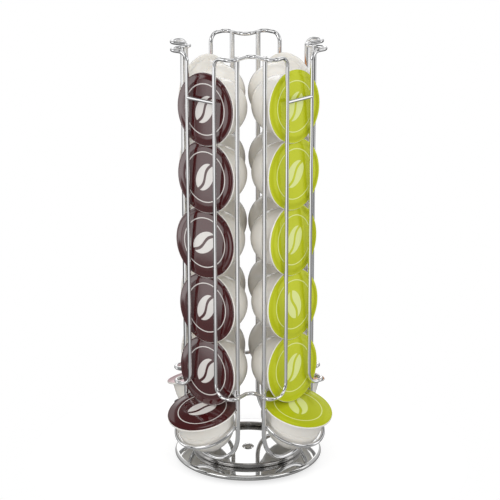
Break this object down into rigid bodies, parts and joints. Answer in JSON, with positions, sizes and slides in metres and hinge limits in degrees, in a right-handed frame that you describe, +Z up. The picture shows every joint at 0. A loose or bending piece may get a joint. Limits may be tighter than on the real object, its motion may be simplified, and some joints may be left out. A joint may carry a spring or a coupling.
{
  "type": "coffee capsule dispenser",
  "caption": "Turning wire rack that holds large coffee capsules in upright columns, with a ring under each column for the next one to take.",
  "frame": {"origin": "centre of the underside, on the table, on the axis that the plate turns about", "axes": "+Z up along the turning axis, -Y towards the front, columns on the diagonals"},
  "size_m": [0.1251, 0.1251, 0.3273],
  "materials": {
    "wire_chrome": "bright chrome plate on steel wire",
    "plate_steel": "mirror polished sheet",
    "rivet_steel": "polished",
    "foot_steel": "satin",
    "ball_steel": "ground",
    "pad_rubber": "soft, matt",
    "cage_plastic": "moulded",
    "washer_plastic": "moulded",
    "cup_plastic": "smooth ivory white",
    "lid_brown": "glossy printed foil",
    "lid_green": "glossy printed foil",
    "lid_pink": "glossy printed foil",
    "lid_orange": "glossy printed foil"
  },
  "bodies": {
    "base": {"foot_disc": "foot_steel", "foot_pads": "pad_rubber", "pivot_rivet": "rivet_steel", "pivot_washer": "washer_plastic"},
    "bearing": {"ball_cage": "cage_plastic", "bearing_balls": "ball_steel"},
    "turntable": {"turntable_plate": "plate_steel", "base_ring": "wire_chrome", "guard_loop_front": "wire_chrome", "guard_loop_right": "wire_chrome", "guard_loop_back": "wire_chrome", "guard_loop_left": "wire_chrome", "guide_rail_front_left": "wire_chrome", "guide_rail_front_right": "wire_chrome", "guide_rail_back_right": "wire_chrome", "guide_rail_back_left": "wire_chrome", "stop_bar_front_left": "wire_chrome", "stop_bar_front_right": "wire_chrome", "stop_bar_back_right": "wire_chrome", "stop_bar_back_left": "wire_chrome", "cup_ring_front_left": "wire_chrome", "cup_ring_front_right": "wire_chrome", "cup_ring_back_right": "wire_chrome", "cup_ring_back_left": "wire_chrome"},
    "ready_capsule_front_left": {"ready_cup_front_left": "cup_plastic", "ready_lid_front_left": "lid_brown"},
    "capsule_stack_front_left": {"stack_cup_1_front_left": "cup_plastic", "stack_cup_2_front_left": "cup_plastic", "stack_cup_3_front_left": "cup_plastic", "stack_cup_4_front_left": "cup_plastic", "stack_cup_5_front_left": "cup_plastic", "stack_lids_front_left": "lid_brown"},
    "ready_capsule_front_right": {"ready_cup_front_right": "cup_plastic", "ready_lid_front_right": "lid_green"},
    "capsule_stack_front_right": {"stack_cup_1_front_right": "cup_plastic", "stack_cup_2_front_right": "cup_plastic", "stack_cup_3_front_right": "cup_plastic", "stack_cup_4_front_right": "cup_plastic", "stack_cup_5_front_right": "cup_plastic", "stack_lids_front_right": "lid_green"},
    "ready_capsule_back_right": {"ready_cup_back_right": "cup_plastic", "ready_lid_back_right": "lid_orange"},
    "capsule_stack_back_right": {"stack_cup_1_back_right": "cup_plastic", "stack_cup_2_back_right": "cup_plastic", "stack_cup_3_back_right": "cup_plastic", "stack_cup_4_back_right": "cup_plastic", "stack_cup_5_back_right": "cup_plastic", "stack_lids_back_right": "lid_orange"},
    "ready_capsule_back_left": {"ready_cup_back_left": "cup_plastic", "ready_lid_back_left": "lid_pink"},
    "capsule_stack_back_left": {"stack_cup_1_back_left": "cup_plastic", "stack_cup_2_back_left": "cup_plastic", "stack_cup_3_back_left": "cup_plastic", "stack_cup_4_back_left": "cup_plastic", "stack_cup_5_back_left": "cup_plastic", "stack_lids_back_left": "lid_pink"}
  },
  "joints": [
    {"name": "turntable_turn", "type": "hinge", "parent": "base", "child": "turntable", "pos_m": [0, 0, 0.0064], "axis": [0, 0, 1], "continuous": true},
    {"name": "bearing_turn", "type": "hinge", "parent": "base", "child": "bearing", "pos_m": [0, 0, 0.0041], "axis": [0, 0, 1], "continuous": true},
    {"name": "stack_lift_front_left", "type": "slide", "parent": "turntable", "child": "capsule_stack_front_left", "axis": [0, 0, 1], "range_m": [0, 0.011]},
    {"name": "ready_lift_front_left", "type": "slide", "parent": "turntable", "child": "ready_capsule_front_left", "axis": [-0.202, -0.202, 0.9583], "range_m": [0, 0.01044]},
    {"name": "stack_lift_front_right", "type": "slide", "parent": "turntable", "child": "capsule_stack_front_right", "axis": [0, 0, 1], "range_m": [0, 0.011]},
    {"name": "ready_lift_front_right", "type": "slide", "parent": "turntable", "child": "ready_capsule_front_right", "axis": [0.2138, -0.2138, 0.9532], "range_m": [0, 0.01044]},
    {"name": "stack_lift_back_right", "type": "slide", "parent": "turntable", "child": "capsule_stack_back_right", "axis": [0, 0, 1], "range_m": [0, 0.011]},
    {"name": "ready_lift_back_right", "type": "slide", "parent": "turntable", "child": "ready_capsule_back_right", "axis": [0.2091, 0.2091, 0.9553], "range_m": [0, 0.01044]},
    {"name": "stack_lift_back_left", "type": "slide", "parent": "turntable", "child": "capsule_stack_back_left", "axis": [0, 0, 1], "range_m": [0, 0.011]},
    {"name": "ready_lift_back_left", "type": "slide", "parent": "turntable", "child": "ready_capsule_back_left", "axis": [-0.2067, 0.2067, 0.9563], "range_m": [0, 0.01044]}
  ],
  "couplings": [
    {"joint": "bearing_turn", "follows": "turntable_turn", "ratio": 0.5},
    {"joint": "ready_lift_front_left", "follows": "stack_lift_front_left", "ratio": 0.94},
    {"joint": "ready_lift_front_right", "follows": "stack_lift_front_right", "ratio": 0.94},
    {"joint": "ready_lift_back_right", "follows": "stack_lift_back_right", "ratio": 0.94},
    {"joint": "ready_lift_back_left", "follows": "stack_lift_back_left", "ratio": 0.94}
  ]
}
